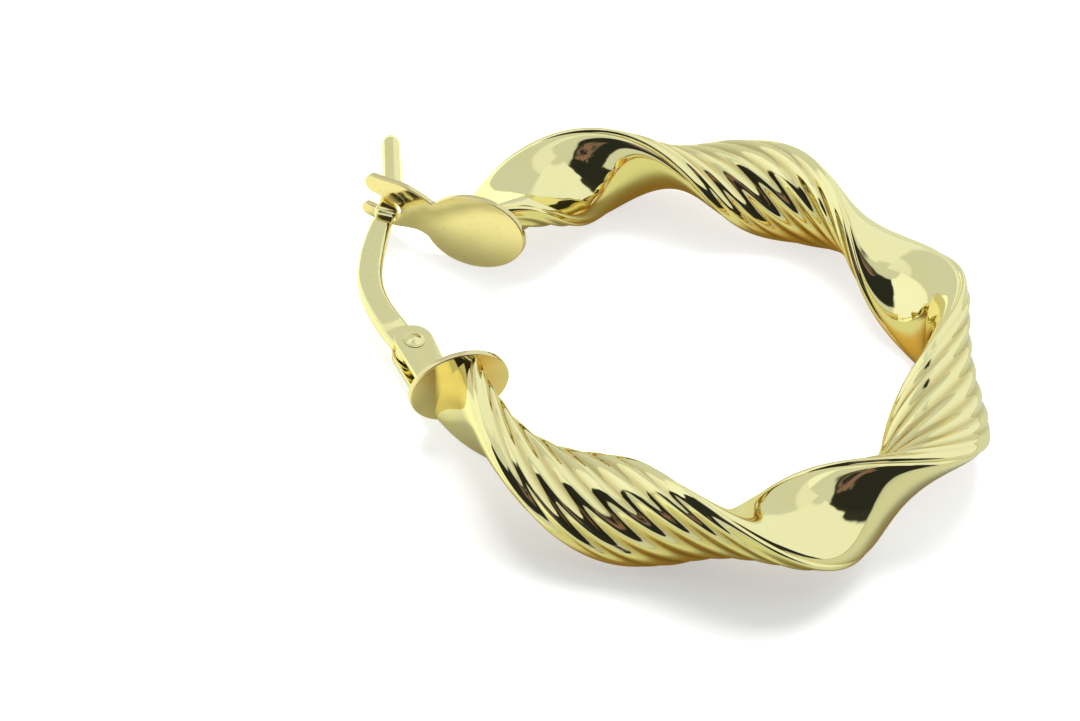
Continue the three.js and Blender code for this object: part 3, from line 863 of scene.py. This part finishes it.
class EARRING_OT_stage(bpy.types.Operator):
    """Adds the pale floor, the white surround, the soft light and the camera"""

    bl_idname = "earring.add_stage"
    bl_label = "Add Stage"
    bl_options = {"REGISTER", "UNDO"}

    # Where the floor's painted light changes: beside the gap, at the right, at the back, and off the ring's
    # line
    GAP = (-10 * MM, -4 * MM)
    RIGHT = (7 * MM, 13 * MM)
    PAINTED_GLOW_BACK = (-13 * MM, -6 * MM)
    PAINTED_SPILL_REACH = (1.2 * MM, 4.5 * MM)
    HALF_FLOOR = 600 * MM

    @staticmethod
    def surround(s, look):
        """A white tent seen by direction: soft-edged panels of light, and a dark opening round the camera.

        A panel is a smooth step up and one down, across and in height, in degrees. The turn is counted from
        straight behind the earring for the lights, and from the camera's side for the dark. Ragged is how
        far noise moves the panel's edges.
        """
        way = s.node("ShaderNodeTexCoord")
        x, y, z = s.parts(way, 3)
        wave = s.noise(way, 5, 3) - 0.5
        height = s.math("ARCSINE", z) * math.degrees(1)
        away = s.math("ARCTAN2", x, y) * math.degrees(1)
        near = s.math("ARCTAN2", x, 0 - y) * math.degrees(1)

        def panel(turn, left, right, low, high, soft, ragged=0.0):
            a, h = turn + wave * ragged, height + wave * ragged
            across = a.step(left - soft, left + soft) * (1 - a.step(right - soft, right + soft))
            return across * h.step(low - soft, low + soft) * (1 - h.step(high - soft, high + soft))

        light = look.tent + panel(away, left=-124, right=-61, low=-30, high=70, soft=1.5) * look.left_light
        light = light + panel(away, left=4, right=112, low=-30, high=78, soft=2.5) * look.right_light
        light = light + panel(away, left=-61, right=4, low=55, high=90, soft=3) * look.top_light
        front = panel(near, left=-58, right=72, low=18, high=69, soft=2, ragged=7)
        side = panel(near, left=30, right=80, low=-8, high=42, soft=2, ragged=8)
        light = light * (1 - s.math("MAXIMUM", front, side) * look.dark)
        warm = panel(near, left=-8, right=34, low=44, high=64, soft=3, ragged=16)
        warm = warm * s.noise(way, 7, 2).step(0.36, 0.56)
        light = (light + warm * look.ember_light) * look.surround
        shade = s.mix(warm, look.tint, look.ember)
        glow = s.node("ShaderNodeBackground", {}, {"Color": shade, "Strength": light})
        plain = s.node("ShaderNodeBackground", {}, {"Color": (1, 1, 1, 1), "Strength": 1.0})
        both = s.node("ShaderNodeMixShader", {}, {0: s.camera_ray(), 1: glow, 2: plain})
        s.node("ShaderNodeOutputWorld", {}, {"Surface": both})

    def floor_material(self, look, radius):
        """A pale surface with painted light: in the metal's reflections its colour differs from place to
        place and it glows faintly, and seen straight on it glows, more at the back.

        It goes by smooth steps from the gap at the left to the middle and to the right, and near the ring's
        line to a painted spill, the warm light that the gold would throw on it.
        """
        material = bpy.data.materials.new("white_floor")
        s = Shader(material)
        seen = s.camera_ray()
        x, y = s.parts(s.place(), 2)
        off_ring = s.math("ABSOLUTE", (x * x + y * y) ** 0.5 - radius)
        left = 1 - x.step(*self.GAP)
        right = x.step(*self.RIGHT)
        back = y.step(*self.PAINTED_GLOW_BACK)
        # Painted bounce light of the gold near the ring's line
        painted_spill = (1 - off_ring.step(*self.PAINTED_SPILL_REACH)) * (1 - left)
        # Painted light: the floor's colours in the metal's reflections, by place
        painted_bounce = s.mix(left, s.mix(right, look.painted_bounce, look.right), look.left)
        painted_bounce = s.mix(painted_spill, painted_bounce, look.painted_spill)
        # Painted light: the glow the camera sees on the floor, rising from front to back to wash out the
        # shadows behind the front
        glow = s.mix(back, look.glow, look.painted_back_glow)
        # Camera rays see the floor colour and the painted glow; reflections see the painted colours and half
        # of them again as painted glow
        surface = s.node(
            "ShaderNodeBsdfPrincipled",
            {},
            {
                "Base Color": s.mix(seen, painted_bounce, look.floor),
                "Roughness": 0.8,
                "Specular IOR Level": 0.0,
                "Emission Color": s.mix(seen, s.mix(0.5, (0, 0, 0), painted_bounce), glow),
                "Emission Strength": 1.0,
            },
        )
        s.node("ShaderNodeOutputMaterial", {}, {"Surface": surface})
        return material

    def add_floor(self, material):
        """A level square about the origin."""
        half = self.HALF_FLOOR
        corners = np.array([(-half, -half, 0), (half, -half, 0), (half, half, 0), (-half, half, 0)])
        floor = put_mesh("floor", [(corners, [np.array([[0, 1, 2, 3]])])], material)

    @staticmethod
    def add_key(scene, look):
        """A soft light behind and above, turned towards the origin. The metal doesn't mirror it."""
        light = bpy.data.lights.new("key", "AREA")
        light.shape = "RECTANGLE"
        light.size, light.size_y = look.key_width, look.key_depth
        light.energy = look.key
        key = bpy.data.objects.new("key", light)
        key.visible_glossy = False
        scene.collection.objects.link(key)
        key.location = look.key_place
        key.rotation_euler = key.location.to_track_quat("Z", "Y").to_euler()

    @staticmethod
    def add_camera(scene, look):
        """Turned about its own axis by the roll, after it has been tipped down by the elevation."""
        camera = bpy.data.objects.new("camera", bpy.data.cameras.new("camera"))
        scene.collection.objects.link(camera)
        scene.camera = camera
        camera.data.lens, camera.data.sensor_width = look.lens, 36
        camera.data.clip_start, camera.data.clip_end = 0.01, 10
        e, r = look.elevation, look.roll
        level = np.array([(1, 0, 0), (0, math.sin(e), math.cos(e)), (0, -math.cos(e), math.sin(e))])
        rolled = np.array([(math.cos(r), math.sin(r), 0), (-math.sin(r), math.cos(r), 0), (0, 0, 1)])
        axes = rolled @ level
        camera.location = ring_centre() + axes.T @ np.array(look.away) * scene.earring.tube.radius
        camera.rotation_mode = "QUATERNION"
        camera.rotation_quaternion = Matrix(axes.T.tolist()).to_quaternion()

    def execute(self, context):
        scene = context.scene
        look = scene.earring.studio
        self.add_floor(self.floor_material(look, scene.earring.tube.radius))
        scene.world = bpy.data.worlds.new("surround")
        self.surround(Shader(scene.world), look)
        self.add_key(scene, look)
        self.add_camera(scene, look)
        scene.view_settings.view_transform = "Standard"
        return {"FINISHED"}


class EARRING_PT_panel(bpy.types.Panel):
    """Lists the earring's pieces and its stage"""

    bl_idname = "EARRING_PT_panel"
    bl_label = "Hoop Earring"
    bl_space_type = "VIEW_3D"
    bl_region_type = "UI"
    bl_category = "Earring"

    def draw(self, context):
        s = context.scene.earring
        for group in (s.tube, s.plate, s.hinge, s.wire, s.finish, s.studio):
            for name in group.bl_rna.properties.keys():
                if name not in ("rna_type", "name"):
                    self.layout.prop(group, name)
        for operator in OPERATORS:
            self.layout.operator(operator.bl_idname)


GROUPS = (TubeSizes, PlateSizes, HingeSizes, WireSizes, GoldFinish, StudioLook, EarringSettings)
OPERATORS = (
    EARRING_OT_tube,
    EARRING_OT_plates,
    EARRING_OT_bracket,
    EARRING_OT_wire,
    EARRING_OT_pin,
    EARRING_OT_stage,
)


def register():
    for cls in (*GROUPS, *OPERATORS, EARRING_PT_panel):
        bpy.utils.register_class(cls)
    bpy.types.Scene.earring = PointerProperty(type=EarringSettings)


def unregister():
    del bpy.types.Scene.earring
    for cls in reversed((*GROUPS, *OPERATORS, EARRING_PT_panel)):
        bpy.utils.unregister_class(cls)


def main():
    register()
    bpy.ops.earring.add_tube()
    bpy.ops.earring.add_plates()
    bpy.ops.earring.add_bracket()
    bpy.ops.earring.add_wire()
    bpy.ops.earring.add_pin()
    bpy.ops.earring.add_stage()


if __name__ == "__main__":
    main()
